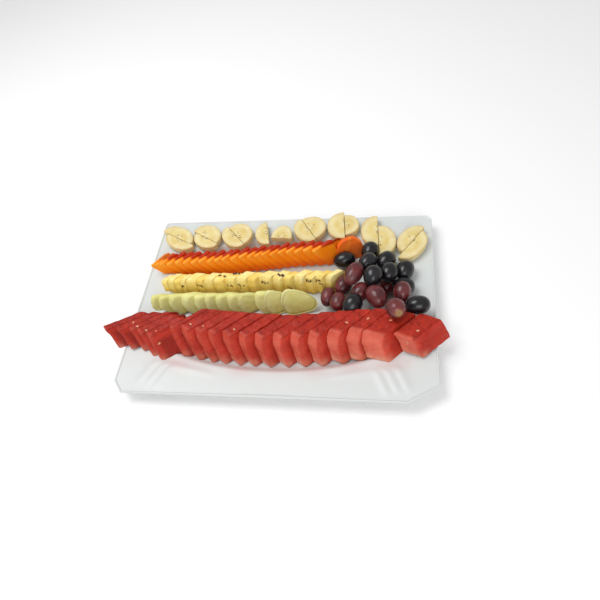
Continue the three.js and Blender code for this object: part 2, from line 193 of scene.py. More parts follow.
# %% Node helpers
class Nodes:
    """A new material's node tree, with short ways to add nodes and links."""

    def __init__(self, name):
        self.material = bpy.data.materials.new(name)
        self.material.use_nodes = True
        self.tree = self.material.node_tree
        self.shader = self.tree.nodes["Principled BSDF"]

    def add(self, kind, inputs=(), **settings):
        node = self.tree.nodes.new(kind)
        for key, value in settings.items():
            setattr(node, key, value)
        for key, value in dict(inputs).items():
            self.put(node.inputs[key], value)
        return node

    def put(self, socket, value):
        if isinstance(value, bpy.types.NodeSocket):
            self.tree.links.new(value, socket)
        else:
            socket.default_value = value

    def set(self, **values):
        for key, value in values.items():
            self.put(self.shader.inputs[key.replace("_", " ")], value)

    def noise(self, scale, detail=3.0, stretch=(1, 1, 1), roughness=0.5):
        place = self.add("ShaderNodeTexCoord").outputs["Object"]
        moved = self.add("ShaderNodeMapping", {"Vector": place, "Scale": stretch}).outputs["Vector"]
        settings = {"Vector": moved, "Scale": scale, "Detail": detail, "Roughness": roughness}
        return self.add("ShaderNodeTexNoise", settings).outputs["Fac"]

    def ramp(self, value, low, high, start=0.0, end=1.0):
        settings = {"Value": value, "From Min": low, "From Max": high, "To Min": start, "To Max": end}
        return self.add("ShaderNodeMapRange", settings).outputs["Result"]

    def mix(self, share, a, b, way="MIX"):
        node = self.add("ShaderNodeMix", data_type="RGBA", blend_type=way)
        sockets = [socket for socket in node.inputs if socket.enabled]
        for socket, value in zip(sockets, (share, a, b)):
            self.put(socket, value)
        return next(socket for socket in node.outputs if socket.enabled)

    def bump(self, height, strength, distance, under=None):
        settings = {"Height": height, "Strength": strength, "Distance": distance}
        if under is not None:
            settings["Normal"] = under
        return self.add("ShaderNodeBump", settings).outputs["Normal"]


def colour4(rgb):
    """A colour with the alpha of 1 that a colour socket expects."""
    return (*[float(value) for value in rgb], 1.0)


print("node helpers are ready")

# %% [markdown]
# Cut fruit is wet, slightly see-through, and made of cells or fibres. One image for each fruit would do, but
# noise never repeats and has no seams. The colour starts from the one that the mesh carries. A coarse noise
# darkens it, a fine one lights it up and roughens the bump, and a third makes it wet in places.

# %% Flesh
def flesh(name, dark, light, grain, fibre, shine, wet, under, radius, depth, coarse):
    """Cut fruit: the mesh's own colour, multiplied by dark and screened with light in two sizes of noise.
    grain and coarse are the noises' scales, fibre stretches the fine one, shine is the mean roughness and
    wet its range. under is how much light passes below the surface, by radius for each colour, and depth
    is the strength of the bump."""
    nodes = Nodes(name)
    base = nodes.add("ShaderNodeVertexColor", layer_name="flesh").outputs["Color"]
    broad = nodes.noise(coarse, 4)
    fine = nodes.noise(grain, 5, fibre, 0.65)
    shaded = nodes.mix(nodes.ramp(broad, 0.35, 0.68), base, colour4(dark), "MULTIPLY")
    lit = nodes.mix(nodes.ramp(fine, 0.48, 0.72, 0.0, 0.75), shaded, colour4(light), "SCREEN")
    damp = nodes.ramp(nodes.noise(coarse * 3, 3), 0.4, 0.62, shine - wet / 2, shine + wet / 2)
    nodes.set(Base_Color=lit, Roughness=damp, IOR=1.33, Specular_IOR_Level=0.3)
    nodes.set(Coat_Weight=0.05, Coat_Roughness=0.2)
    nodes.set(Subsurface_Weight=under, Subsurface_Radius=radius, Subsurface_Scale=0.004)
    rough_skin = nodes.bump(nodes.noise(coarse * 4, 3), depth * 0.7, 0.0012)
    nodes.set(Normal=nodes.bump(fine, depth, 0.0006, rough_skin))
    return nodes.material


EVEN = (1, 1, 1)
MELON_FLESH = flesh("watermelon flesh", dark=(0.80, 0.60, 0.55), light=(0.11, 0.02, 0.01), grain=900,
                    fibre=(1, 1, 0.35), shine=0.34, wet=0.25, under=0.12, radius=(1, 0.3, 0.2), depth=0.9,
                    coarse=55)
HONEYDEW_FLESH = flesh("honeydew flesh", dark=(0.93, 0.93, 0.84), light=(0.10, 0.10, 0.05), grain=500,
                       fibre=EVEN, shine=0.30, wet=0.2, under=0.25, radius=(0.8, 1, 0.4), depth=0.18,
                       coarse=40)
PINEAPPLE_FLESH = flesh("pineapple flesh", dark=(0.92, 0.82, 0.60), light=(0.12, 0.10, 0.03), grain=700,
                        fibre=(1, 1, 0.25), shine=0.33, wet=0.25, under=0.15, radius=(1, 0.8, 0.3), depth=0.6,
                        coarse=90)
PAPAYA_FLESH = flesh("papaya flesh", dark=(0.94, 0.82, 0.68), light=(0.08, 0.05, 0.01), grain=500,
                     fibre=EVEN, shine=0.30, wet=0.2, under=0.12, radius=(1, 0.5, 0.1), depth=0.2, coarse=60)
BANANA_FLESH = flesh("banana flesh", dark=(0.90, 0.84, 0.70), light=(0.10, 0.09, 0.06), grain=900,
                     fibre=EVEN, shine=0.42, wet=0.15, under=0.2, radius=(1, 0.8, 0.4), depth=0.25,
                     coarse=120)
print("flesh materials:", [m.name for m in bpy.data.materials if "flesh" in m.name])

# %% [markdown]
# ## The dish
# The real dish is pressed from one sheet of clay: a bowed well, a broad ledge that rises to a rolled lip, and
# cut corners with raised ridges. It could be cut from a box with modifiers, but its well and its edge have
# different outlines. So it is a section swept round its middle: `rim_reach` and `well_reach` give the
# distances to the edge and to the well in any direction, and the section's points are placed between them.

# %% Dish sizes
WIDTH, DEPTH = 356, 252
RIM, FLOOR, WALL = 20, 7, 4.2
CORNERS = [(1, -1, 31, 18), (-1, -1, 11, 13.5), (-1, 1, 2.5, 3.5), (1, 1, 5.5, 6)]
WELL_X, WELL_Y, BOW_X, BOW_Y = 145, 96, 197, 364
WALL_RUN, LIP, LEDGE_FALL = 10, 3, 2.6
FOOT_INSET, FOOT_WIDTH = 8, 6
APEX_X, APEX_Y, FLUTE_STEP, FLUTE_STAGGER = 114, 91, 11, 2
FLUTE_HEADING = np.radians(-66)
FLUTE_COUNT, FLUTE_HEIGHT, FLUTE_WIDTH, SIDE_FLUTE_WIDTH = 3, 1.5, 4.2, 3.6
WELL_ROUNDING = 16.0


def rim_reach(angle):
    """Distance from the middle to the edge: the nearest of the four sides and the four cut corners."""
    c, s = np.cos(angle), np.sin(angle)
    tiny = 1e-9
    reach = np.minimum(WIDTH / 2 / np.maximum(abs(c), tiny), DEPTH / 2 / np.maximum(abs(s), tiny))
    for side_x, side_y, cut_x, cut_y in CORNERS:
        across = side_x * c / cut_x + side_y * s / cut_y
        far = (WIDTH / 2 / cut_x + DEPTH / 2 / cut_y - 1) / np.maximum(across, tiny)
        reach = np.where(across > 0, np.minimum(reach, far), reach)
    return reach


def well_reach(angle):
    """Distance to the well's edge: four bowed sides, blended so that its corners are round."""
    c, s = np.cos(angle), np.sin(angle)
    total = 0
    sides = ((c, WELL_X, BOW_X), (-c, WELL_X, BOW_X), (s, WELL_Y, BOW_Y), (-s, WELL_Y, BOW_Y))
    for along, half, radius in sides:
        centre = half - radius
        reach = centre * along + np.sqrt(radius ** 2 - centre ** 2 * (1 - along ** 2))
        total = total + reach ** -WELL_ROUNDING
    return total ** (-1 / WELL_ROUNDING)


def flutes(x, y):
    """Height of the pressed ridges: in each corner three nested angles. One leg runs out to the corner,
    the other follows the well's edge and fades."""
    height = np.zeros_like(x)
    for k in range(FLUTE_COUNT):
        dx = abs(x) - (APEX_X + FLUTE_STEP * k)
        dy = APEX_Y - FLUTE_STAGGER * k - abs(y)
        along = dx * np.cos(FLUTE_HEADING) + dy * np.sin(FLUTE_HEADING)
        across = -dx * np.sin(FLUTE_HEADING) + dy * np.cos(FLUTE_HEADING)
        outward = step(along, -6, 4) * (1 - step(along, 24, 34)) * np.exp(-((across / FLUTE_WIDTH) ** 2))
        off = dy - 0.2 * dx
        beside = step(-dx, -4, 6) * (1 - step(-dx, 22, 62)) * np.exp(-((off / SIDE_FLUTE_WIDTH) ** 2)) * 0.7
        height = np.maximum(height, FLUTE_HEIGHT * np.maximum(outward, beside))
    return height


def dish_section(angle):
    """The section as (reach, height, fluted) rows, from the floor over the rim to the middle below."""
    rim, well = rim_reach(angle), well_reach(angle)
    foot, lip_start = well - WALL_RUN, rim - LIP
    rows = [(foot * share, FLOOR, 0) for share in (0.12, 0.3, 0.5, 0.7, 0.82)]
    rows += [(foot - 6, FLOOR, 0), (foot - 3, FLOOR + 0.25, 0), (foot, FLOOR + 1.2, 0),
             (foot + 2.3, FLOOR + 3.3, 0), (foot + 4.6, FLOOR + 5.9, 0), (well - 3, RIM - 4.5, 0),
             (well - 1.4, RIM - 3.3, 0)]
    for share in np.linspace(0, 1, 21):
        rows.append((well + (lip_start - well) * share, RIM - LEDGE_FALL + (LEDGE_FALL - 1) * share, 1))
    rows += [(rim - 2.4, RIM - 0.45, 0), (rim - 1.8, RIM, 0), (rim - 1.2, RIM + 0.08, 0), (rim - 0.7, RIM, 0),
             (rim - 0.25, RIM - 0.4, 0), (rim, RIM - 1.1, 0), (rim - 0.1, RIM - 2.4, 0),
             (rim - 0.4, RIM - 3.4, 0), (lip_start, RIM - 1 - WALL, 0),
             (well + 2, RIM - LEDGE_FALL - WALL, 0), (foot + 3, FLOOR - 2.7, 0), (foot - 3, FLOOR - WALL, 0)]
    outer, base, underside = foot - FOOT_INSET, 0.05, FLOOR - WALL
    inner = outer - FOOT_WIDTH
    rows += [(outer, underside, 0), (outer - 0.5, 1, 0), (outer - 1, base, 0), (outer - 4, base, 0),
             (inner - 1, base, 0), (inner - 1.5, 1, 0), (inner - 2, underside, 0),
             (foot * 0.5, underside, 0), (foot * 0.2, underside, 0)]
    return rows


print("the well is", round(2 * float(well_reach(np.array(0.0)))), "mm long")

# %% [markdown]
# White glaze is glossy but never mirror-flat, so its roughness varies and a broad bump bends its highlights.
# Fruit juice has left a faint pink stain on the dish in front of the watermelon. It could be painted by hand,
# but it follows the line of the watermelon's front corners, so it is worked out from the distance to that
# line and kept as the mesh's own colour.

# %% Dish piece
corner_angles = [np.arctan2(sy * DEPTH / 2, sx * (WIDTH / 2 - cut)) for sx, sy, cut, _ in CORNERS]
corner_angles += [np.arctan2(sy * (DEPTH / 2 - cut), sx * WIDTH / 2) for sx, sy, _, cut in CORNERS]
angles = np.sort(np.concatenate([np.linspace(-np.pi, np.pi, 560, endpoint=False), corner_angles]))
section = dish_section(angles)
reach = np.array([np.broadcast_to(row[0], angles.shape) for row in section])
height = np.array([np.full(angles.shape, float(row[1])) for row in section])
fluted = np.array([np.full(angles.shape, row[2]) for row in section])
dish_x, dish_y = reach * np.cos(angles), reach * np.sin(angles)
height = height + fluted * flutes(dish_x, dish_y)
rings = np.stack([dish_x, dish_y, height], axis=-1)[::-1]
dish_points, dish_faces = rings_mesh(rings, [0, 0, FLOOR - WALL], [0, 0, FLOOR])

WARE_WHITE, JUICE = linear(212, 216, 215), linear(206, 110, 100)
STAIN_MIDDLE, STAIN_BOW, STAIN_WIDTH, STAIN_END, STAIN_STRENGTH = -93, 16, 9.0, 150, 0.30
dish_across, dish_along, dish_height = dish_points.T
front_line = STAIN_MIDDLE + (np.abs(dish_across + 10) / 175) ** 2 * STAIN_BOW
spread = np.exp(-((dish_along - front_line) / STAIN_WIDTH) ** 2)
stain = spread * (0.5 + 0.5 * waves(dish_points, 40, 5))
stain = stain * (abs(dish_across) < STAIN_END) * (dish_height > FLOOR - 1)
dish_colours = blend(WARE_WHITE, JUICE, np.clip(stain, 0, 1) * STAIN_STRENGTH)

ware = Nodes("white glaze")
ware_colour = ware.add("ShaderNodeVertexColor", layer_name="flesh").outputs["Color"]
speckle = ware.ramp(ware.noise(35, 4), 0.4, 0.62, 0.0, 0.10)
ware.set(Base_Color=ware.mix(speckle, ware_colour, colour4(linear(222, 226, 220))))
ware.set(Roughness=ware.ramp(ware.noise(60, 3), 0.3, 0.7, 0.40, 0.48), IOR=1.4)
ware.set(Coat_Weight=0.04, Coat_Roughness=0.16)
ware.set(Normal=ware.bump(ware.noise(28, 2), 0.06, 0.002))
make_piece("dish", dish_points, dish_faces, ware.material, dish_colours, ["platter"], sharp=40)
print("dish faces:", len(dish_faces))

# %% [markdown]
# ## Slices
# A slice is an outline (s along it, t up its cut face) that is swept through its thickness n. Its edges are
# rounded, and it leans back while its top and bottom stay level. An extruded curve with a bevel could make
# one, but a slice in a row is also pressed against the dish and the next slice, which is easier when all
# points are known. A row is a list of front corners along x. Between a few stations the turn, the lean and
# the rest change evenly.

# %% Slice helpers
GAP = 0.3


def rounded(corners, radius, count):
    """A polygon with each corner replaced by a curve, as `count` points spread evenly along it."""
    corners = np.array(corners, float)
    before, after = np.roll(corners, 1, axis=0), np.roll(corners, -1, axis=0)
    path = []
    for corner, a, b in zip(corners, before, after):
        to_a, to_b = a - corner, b - corner
        reach_a = min(radius, 0.4 * np.linalg.norm(to_a)) / np.linalg.norm(to_a)
        reach_b = min(radius, 0.4 * np.linalg.norm(to_b)) / np.linalg.norm(to_b)
        for u in np.linspace(0, 1, 6):
            start, end = corner + to_a * reach_a, corner + to_b * reach_b
            path.append((1 - u) ** 2 * start + 2 * u * (1 - u) * corner + u * u * end)
    path = np.array(path + path[:1])
    run = np.concatenate([[0], np.cumsum(np.linalg.norm(np.diff(path, axis=0), axis=1))])
    spots = np.linspace(0, run[-1], count, endpoint=False)
    return np.column_stack([np.interp(spots, run, path[:, 0]), np.interp(spots, run, path[:, 1])])


def frame_of(place):
    """Origin and the directions of s, t and n of a slice in the dish's frame."""
    turn, lean = np.radians([place["turn"], place["lean"]])
    along = np.array([np.cos(turn), np.sin(turn), 0])
    up = np.array([-np.sin(turn) * np.sin(lean), np.cos(turn) * np.sin(lean), np.cos(lean)])
    out = np.array([np.sin(turn) * np.cos(lean), -np.cos(turn) * np.cos(lean), np.sin(lean)])
    return np.array([place["x"], place["y"], place["z"]]), along, up, out


def station_list(keys, rows):
    """Rows of numbers as a list of dictionaries, one key for each column."""
    return [dict(zip(keys.split(), row)) for row in rows]


def shingle(fronts, stations, thickest, press=0.0):
    """The places of a row's slices. A slice is as thick as the room to the one before it."""
    at = [station["x"] for station in stations]
    columns = {key: [station[key] for station in stations] for key in stations[0]}
    places = [{key: float(np.interp(x, at, values)) for key, values in columns.items()} for x in fronts]
    for x, place in zip(fronts, places):
        place["x"] = x
    for index, place in enumerate(places):
        before, after = (places[index - 1], place) if index else (place, places[1])
        turn, lean = np.radians([place["turn"], place["lean"]])
        room = (after["x"] - before["x"]) * np.sin(turn) - (after["y"] - before["y"]) * np.cos(turn)
        place["thickness"] = min(room * np.cos(lean), thickest) + press
    return places


def bed(x, y):
    """Height of the dish's upper side under a point, and far below it beyond the dish."""
    angle, reach = np.arctan2(y, x), np.hypot(x, y)
    rim, well = rim_reach(angle), well_reach(angle)
    foot = well - WALL_RUN
    wall = FLOOR + np.interp((reach - foot + 4) / 12, [0, 0.46, 1], [0, 2.7, RIM - FLOOR - 2.6])
    ledge = RIM - LEDGE_FALL + (LEDGE_FALL - 1) * np.clip((reach - well) / (rim - LIP - well), 0, 1)
    top = np.where(reach < well - 2, wall, ledge)
    return np.where(reach < rim + GAP, np.where(reach > rim - LIP, RIM, top), -99)


print("slice helpers are ready")

# %% [markdown]
# The surface of a slice is a stack of rings: out over the hidden face, round the edge, along the side, and in
# over the cut face. A quarter circle in four steps rounds each edge. The two faces share one list of rings,
# read forwards and then backwards.

# %% Slice surface
QUARTER_TURN = np.radians([0, 30, 60, 90])


def slice_surface(outline, place, edge, seed, rough_size, rough_depth, side_rings, face_rings,
                  neighbour=None):
    """A slice's points, faces and the (s, t, n) of every point. Rings run from the middle of the hidden
    face over the rounded edges to the middle of the cut face. What would reach into the dish or past the
    next slice's hidden face is pressed flat against it."""
    thick = place["thickness"]
    centre = outline.mean(axis=0)
    spoke = outline - centre
    radius = np.linalg.norm(spoke, axis=1)
    ring_list = []
    for share in np.linspace(0.08, 0.92, face_rings):
        ring_list.append((centre + spoke * share * (1 - edge / radius)[:, None], -thick))
    for phi in QUARTER_TURN:
        inset = edge * (1 - np.sin(phi))
        ring_list.append((centre + spoke * (1 - inset / radius)[:, None], -thick + edge * (1 - np.cos(phi))))
    for n in np.linspace(-thick + edge, -edge, side_rings + 2)[1:-1]:
        ring_list.append((outline, n))
    far_side = ring_list[:face_rings + len(QUARTER_TURN)]
    ring_list += [(ring, -thick - n) for ring, n in reversed(far_side)]
    flat = np.array([np.column_stack([ring, np.full(len(ring), n)]) for ring, n in ring_list])
    ends = np.array([[*centre, -thick], [*centre, 0.0]])
    local = np.vstack([flat.reshape(-1, 3), ends])
    origin, along, up, out = frame_of(place)
    s, t, n = local.T
    tilt = np.tan(np.radians(place["lean"]))
    slide = place["skew"]
    if "fan" in place:
        slide = slide + (place["fan"] - slide) * np.clip((s - place["slope"]) / place["length"], 0, 1)
    points = origin + np.outer(s + slide * n, along) + np.outer(t - tilt * n, up) + np.outer(n, out)
    points = rough(points, rough_size, rough_depth, seed)
    if neighbour is not None:
        next_origin, _, _, next_out = frame_of(neighbour)
        past = (points - next_origin) @ next_out + neighbour["thickness"] + GAP
        points = points - np.outer(np.maximum(past, 0), next_out)
    points[:, 2] = np.maximum(points[:, 2], bed(points[:, 0], points[:, 1]) + GAP)
    _, quads = rings_mesh(points[:-2].reshape(flat.shape), points[-2], points[-1])
    return points, quads, local


print("a slice's edge has", len(QUARTER_TURN), "rings")

# %% [markdown]
# ## Watermelon
# The fan has nineteen slices that lean on each other like books. They could be copies of one slice, but their
# turn, slope and length change along the fan, so each is worked out in its own place.

# %% Watermelon fan
MELON_FRONTS = [-183, -167, -151, -138, -125, -103, -85, -69, -55, -37, -20, -2, 18, 37, 56.5, 79, 101, 127,
                162]
MELON_STATIONS = station_list("x y z turn lean slope length skew fan", [
    (-183, -73, 21, 26, 30, -5, 56, 0.3, 1.5), (-151, -76, 20, 29, 31, -2, 56, 0.3, 1.7),
    (-125, -88, 14, 33, 31, 1, 51, 0.3, 1.5), (-103, -79, 8, 35, 31, 3, 48, 0.3, 1.4),
    (-50, -85, 8, 39, 27, 6, 48, 0.3, 1.2), (0, -87, 8, 40, 22, 7.5, 49, 0.3, 1.2),
    (56, -84, 8, 42, 22, 10, 50, 0.35, 1.15), (101, -78, 10, 44, 22, 12, 42, 0.7, 1),
    (127, -82, 17, 44, 28, 9, 42, 0.7, 0.8), (162, -77, 21, 42, 29, -3, 39, 0.6, 0.6)])
MELON_TOP, MELON_RUN, MELON_BEVEL, MELON_BEVEL_RUN = 45, 4, 0.72, 0.3
MELON_THICKEST, MELON_PRESS = 22, -0.5
melon_places = shingle(MELON_FRONTS, MELON_STATIONS, MELON_THICKEST, MELON_PRESS)


def melon_outline(place):
    """A long foot, a level top and a sloping front with a second facet under its upper edge."""
    rise = (MELON_TOP - place["z"]) / np.cos(np.radians(place["lean"]))
    slope, back = place["slope"], place["slope"] + place["length"]
    facet = (slope * MELON_BEVEL_RUN, rise * MELON_BEVEL)
    return rise, [(0, 0), (back + MELON_RUN, 0), (back, rise), (slope, rise), facet]


print("watermelon slices are", [round(place["thickness"]) for place in melon_places], "mm thick")

# %% [markdown]
# A watermelon slice is red inside, paler and pinker on the strip that was next to the rind, and palest at its
# lowest corner. Its top is darker, wet and fibrous. Painted shade darkens the gap behind the strip, where the
# next slice leans on it, the hidden face under the next slice, and the slices towards the left end of the
# fan.
# A texture would need an unwrapped mesh for each slice. A colour on each point needs only the point's own s,
# t and n.

# %% Watermelon slices
RED, DEEP_RED_AND_SHADE = linear(204, 56, 38), linear(128, 24, 14)
PINK, RIND = linear(222, 112, 92), linear(232, 178, 150)


def paint_melon(points, local, place, rise, index):
    """Red, with the top, the rind strip, the low corner, painted shade on the slices at the left end and
    painted shade in the gap and on the hidden parts laid over it in turn.
    """
    s, t, n = local.T
    front = place["slope"] * np.clip(t / rise, 0, 1)
    topside = step(t / rise, 0.93, 0.99)
    fibres = np.clip(waves(points * [1.0, 1.0, 0.4], 3.2, index + 11), 0, 1)
    patches = np.clip(waves(points, 8, index + 70), -1, 1)
    blotches = np.clip(waves(points, 14, index), 0, 1)
    colour = blend(RED, DEEP_RED_AND_SHADE, topside * (0.34 + 0.5 * fibres + 0.16 * patches) + 0.2 * blotches)
    strip = step(6.0 - (s - front), 0, 5) * (0.55 + 0.4 * step(index, 8, 16))
    strip = strip * (1 - 0.3 * step(t / rise, 0.8, 1))
    colour = blend(colour, PINK, strip * (0.35 + 0.65 * step(-n, 0.3, 1.6)))
    low = step(0.42 - t / rise, 0, 0.4) * step(14 - s, 0, 12) * 0.75
    colour = blend(colour, RIND, low * (0.55 + 0.45 * np.clip(waves(points, 9, index + 40), 0, 1)))
    # Painted shade: the slices towards the left end of the fan are darkened towards deep red.
    colour = blend(colour, DEEP_RED_AND_SHADE, np.full(len(s), 0.28 * max(0.0, 1 - index / 13)))
    # Painted shade: the gap behind the strip, where the next slice leans on it, and the hidden face under the
    # next slice are darkened towards deep red.
    hidden_shade = step(-n, place["thickness"] * 0.6, place["thickness"])
    gap_shade = step(s - front, 3, 9) * step(0.92 - t / rise, 0, 0.25)
    return blend(colour, DEEP_RED_AND_SHADE, gap_shade * (0.75 - 0.03 * index) + hidden_shade * 0.2 * (s > front + 7))


for index, place in enumerate(melon_places):
    rise, corners = melon_outline(place)
    following = melon_places[index + 1] if index + 1 < len(melon_places) else None
    points, faces, local = slice_surface(rounded(corners, 2.4, 132), place, edge=0.8, seed=100 + index * 7,
                                         rough_size=11, rough_depth=0.4, side_rings=9, face_rings=14,
                                         neighbour=following)
    make_piece(f"watermelon_slice_{index + 1}", points, faces, MELON_FLESH,
               paint_melon(points, local, place, rise, index), [f"watermelon_{index + 1}"], sharp=70)
print("watermelon slices:", len(melon_places))

# %% [markdown]
# Seeds lie in the flesh. A pale seed is a flat drop, and a pit is what a dark one leaves. They could be
# scattered by a particle system, but only a few show, so each is given by the slice it is in, how far along
# the slice, how far across its thickness, how high up its cut face with 1 for the top, its length and its
# spin.

# %% Seeds
def drop(middle, heading, lift, length, width, thick, around=20, rings=9):
    """A seed: a flat ellipsoid, narrower towards one end. heading and lift are unit vectors along it and
    out of the flesh."""
    side = np.cross(lift, heading)
    latitude = np.linspace(-np.pi / 2, np.pi / 2, rings + 2)[1:-1]
    turn = np.linspace(0, 2 * np.pi, around, endpoint=False)
    taper = 1 - 0.3 * np.sin(latitude)
    x = np.outer(np.sin(latitude), np.ones(around)) * length / 2
    y = np.outer(np.cos(latitude) * taper, np.cos(turn)) * width / 2
    z = np.outer(np.cos(latitude), np.sin(turn)) * thick / 2
    grid = middle + x[..., None] * heading + y[..., None] * side + z[..., None] * lift
    return rings_mesh(grid, middle - heading * length / 2, middle + heading * length / 2)


def seed_at(index, along, across, high, size, spin):
    """Middle, heading and lift of a seed in slice `index`, on its top where high is 1, or on the strip
    at its front where along is 0, or on its cut face."""
    place = melon_places[index - 1]
    rise, _ = melon_outline(place)
    origin, sway, up, out = frame_of(place)
    n = -across * place["thickness"]
    t = rise * high
    s = place["slope"] * (high if high > MELON_BEVEL else MELON_BEVEL_RUN * high / MELON_BEVEL) + along
    tilt = np.tan(np.radians(place["lean"]))
    middle = origin + (s + place["skew"] * n) * sway + (t - tilt * n) * up + n * out
    lift = np.array([0, 0, 1.0]) if high == 1 else (-sway if along == 0 else out)
    flat = np.cross(lift, sway if high == 1 else up)
    flat /= np.linalg.norm(flat)
    heading = np.cos(spin) * flat + np.sin(spin) * np.cross(lift, flat)
    return middle - lift * 0.1, heading, lift, size


PALE_SEEDS = [
    (2, 20, 0.5, 1, 3.4, 0.3), (3, 9, 0.5, 1, 3.8, 1.0), (4, 8, 0.3, 1, 3.6, 0.6), (5, 6, 0, 0.72, 3.9, 0.4),
    (5, 10, 0.5, 1, 3.4, 1.4), (7, 9, 0.5, 1, 3.6, 0.4), (8, 8, 0.6, 1, 3.0, 0.9), (10, 10, 0.4, 1, 3.3, 0.2),
    (16, 17, 0.5, 1, 3.8, 0.5), (17, 20, 0.6, 1, 3.6, 1.6), (19, 14, 0.25, 1, 4.1, 0.9),
    (19, 0, 0.5, 0.62, 4.1, 1.3), (18, 24, 0.5, 1, 3.3, 1.1)]
DARK_PITS = [(index, 5.5 + 3 * ((index * 37) % 5) / 5, 0.25 + 0.5 * ((index * 53) % 7) / 7, 1,
              2.2 + 0.4 * (index % 3), index) for index in range(3, 19)]
DARK_PITS += [(index, 26 + 6 * ((index * 29) % 4) / 4, 0.5, 1, 1.7, index * 2.0) for index in range(4, 17, 2)]


def uncoloured(points, faces):
    """A part for `joined` whose colour comes from its material alone."""
    return points, faces, np.zeros((len(points), 3))


def seed_piece(name, seeds, material, width, thick):
    """All the seeds of a list as one piece, `width` of their length wide and `thick` mm thick."""
    parts = []
    for index, along, across, high, size, spin in seeds:
        middle, heading, lift, length = seed_at(index, along, across, high, size, spin)
        points, faces = drop(middle, heading, lift, length, length * width, thick)
        parts.append(uncoloured(points, faces))
    points, faces, _ = joined(parts)
    make_piece(name, points, faces, material)
    return len(parts)


def plain(name, rgb, other, scale, roughness, coat=0.0):
    """A material of two close colours in a fine noise."""
    nodes = Nodes(name)
    share = nodes.ramp(nodes.noise(scale, 4), 0.35, 0.65)
    nodes.set(Base_Color=nodes.mix(share, colour4(rgb), colour4(other)), Roughness=roughness)
    nodes.set(Coat_Weight=coat)
    nodes.set(Normal=nodes.bump(nodes.noise(scale * 2, 3), 0.2, 0.0004))
    return nodes.material


PALE_SEED = plain("pale seed", linear(226, 178, 136), linear(206, 130, 92), 700, 0.3, 0.3)
DARK_SEED = plain("dark pit", linear(128, 28, 20), linear(88, 18, 12), 900, 0.5, 0.0)
pale = seed_piece("melon_seeds", PALE_SEEDS, PALE_SEED, 0.55, 1.3)
dark = seed_piece("melon_pits", DARK_PITS, DARK_SEED, 0.5, 0.6)
print("pale seeds and dark pits:", pale, dark)

# %% [markdown]
# ## Rows of thin slices
# Honeydew, pineapple and papaya lie in rows behind the watermelon. Each row is one piece, because its slices
# touch, and each slice in it is a closed surface of its own. An array modifier would make all slices alike,
# so every outline gets a small wobble of its own.

# %% Row maker
def row_piece(name, places, face, material, node, paint, corner, edge, depth=0.3, last=None):
    """A row of slices as one piece. corner and edge are the radii of the outline's corners and of the
    edges, and depth is the roughness. paint gives a slice's colours from its points, its own coordinates
    with s and t as shares of its size, and its number. last is what the last slice leans on."""
    parts = []
    for index, place in enumerate(places):
        corners = np.array(face, float) * place["size"]
        wobble = 1 + 0.03 * np.sin(index * 2.4 + np.arange(len(corners)) * 1.7)
        outline = rounded(corners * wobble[:, None], corner, 84)
        following = places[index + 1] if index + 1 < len(places) else last
        points, faces, local = slice_surface(outline, place, edge, seed=900 + index * 5, rough_size=8,
                                             rough_depth=depth, side_rings=4, face_rings=9,
                                             neighbour=following)
        s, t = local[:, 0] / corners[:, 0].max(), local[:, 1] / corners[:, 1].max()
        parts.append((points, faces, paint(points, s, t, local[:, 2], index)))
    points, faces, colours = joined(parts)
    return make_piece(name, points, faces, material, colours, [node], sharp=75)


print("row maker is ready")

# %% [markdown]
# Honeydew is pale green. Its upper part is lightened as painted light, its left edges carry a painted
# highlight, and its foot, where the slices meet the dish, is darkened to olive as painted shade. Its slices
# are soft, so their corners and edges get large radii.

# %% Honeydew
HONEY_PAINTED_LIGHT, HONEY_MID, HONEY_PAINTED_SHADE = linear(230, 228, 158), linear(228, 222, 138), linear(214, 196, 100)
HONEYDEW_FRONTS = [-151, -141, -126, -109, -94, -82, -68, -54, -44, -23, -14, 5]
HONEYDEW_STATIONS = station_list("x y z turn lean size skew", [
    (-152, -21.5, 8, 38, 26, 0.95, 0.6), (-51, -20.5, 8, 32, 26, 0.98, 0.6),
    (5, -18.5, 8, 10, 26, 1.18, 0.6)])
HONEYDEW_FACE = [(7, 0), (28, 2), (35, 6), (35, 14), (22, 23.5), (8, 29), (3, 25), (0, 14), (2, 5)]


def paint_honeydew(points, s, t, n, index):
    """Green, with painted light near the top, a painted highlight on the left edge, painted olive shade at
    the foot, and cloudy patches.
    """
    # Painted light on the upper part, painted olive shade at the foot, painted highlight along the left edge.
    colour = blend(HONEY_MID, HONEY_PAINTED_LIGHT, step(t, 0.3, 0.8) * 0.5)
    colour = blend(colour, HONEY_PAINTED_SHADE, step(0.5 - t, 0, 0.5) * 0.45)
    colour = blend(colour, HONEY_PAINTED_LIGHT, step(0.3 - s, 0, 0.2) * 0.8)
    return blend(colour, HONEY_MID, np.clip(waves(points, 12, index), 0, 1) * 0.3)


honeydew_places = shingle(HONEYDEW_FRONTS, HONEYDEW_STATIONS, thickest=10)
row_piece("honeydew_slices", honeydew_places, HONEYDEW_FACE, HONEYDEW_FLESH, "honeydew_row",
          paint_honeydew, corner=9.0, edge=2.6)
print("honeydew slices:", len(honeydew_places))

# %% [markdown]
# Pineapple is pale yellow on top and golden lower down, with upright streaks. It is firm, so its slices keep
# crisp corners.

# %% Pineapple
PINE_TOP, PINE_LOW, PINE_DEEP = linear(255, 240, 168), linear(252, 218, 110), linear(226, 170, 70)
PINEAPPLE_FRONTS = [-143, -135, -127, -120, -106, -97, -85, -71, -57, -43, -31, -13, 0, 12, 26, 38, 50, 60]
PINEAPPLE_STATIONS = station_list("x y z turn lean size skew", [
    (-143, 11.5, 8, 50, 8, 0.9, 0.75), (-70, 11.5, 8, 46, 8, 0.94, 0.75), (60, 13.5, 8, 36, 8, 1, 0.75)])
PINEAPPLE_FACE = [(0, 0), (24, 0), (27, 12), (20, 27), (6, 28.5), (2.5, 25), (0.5, 14)]


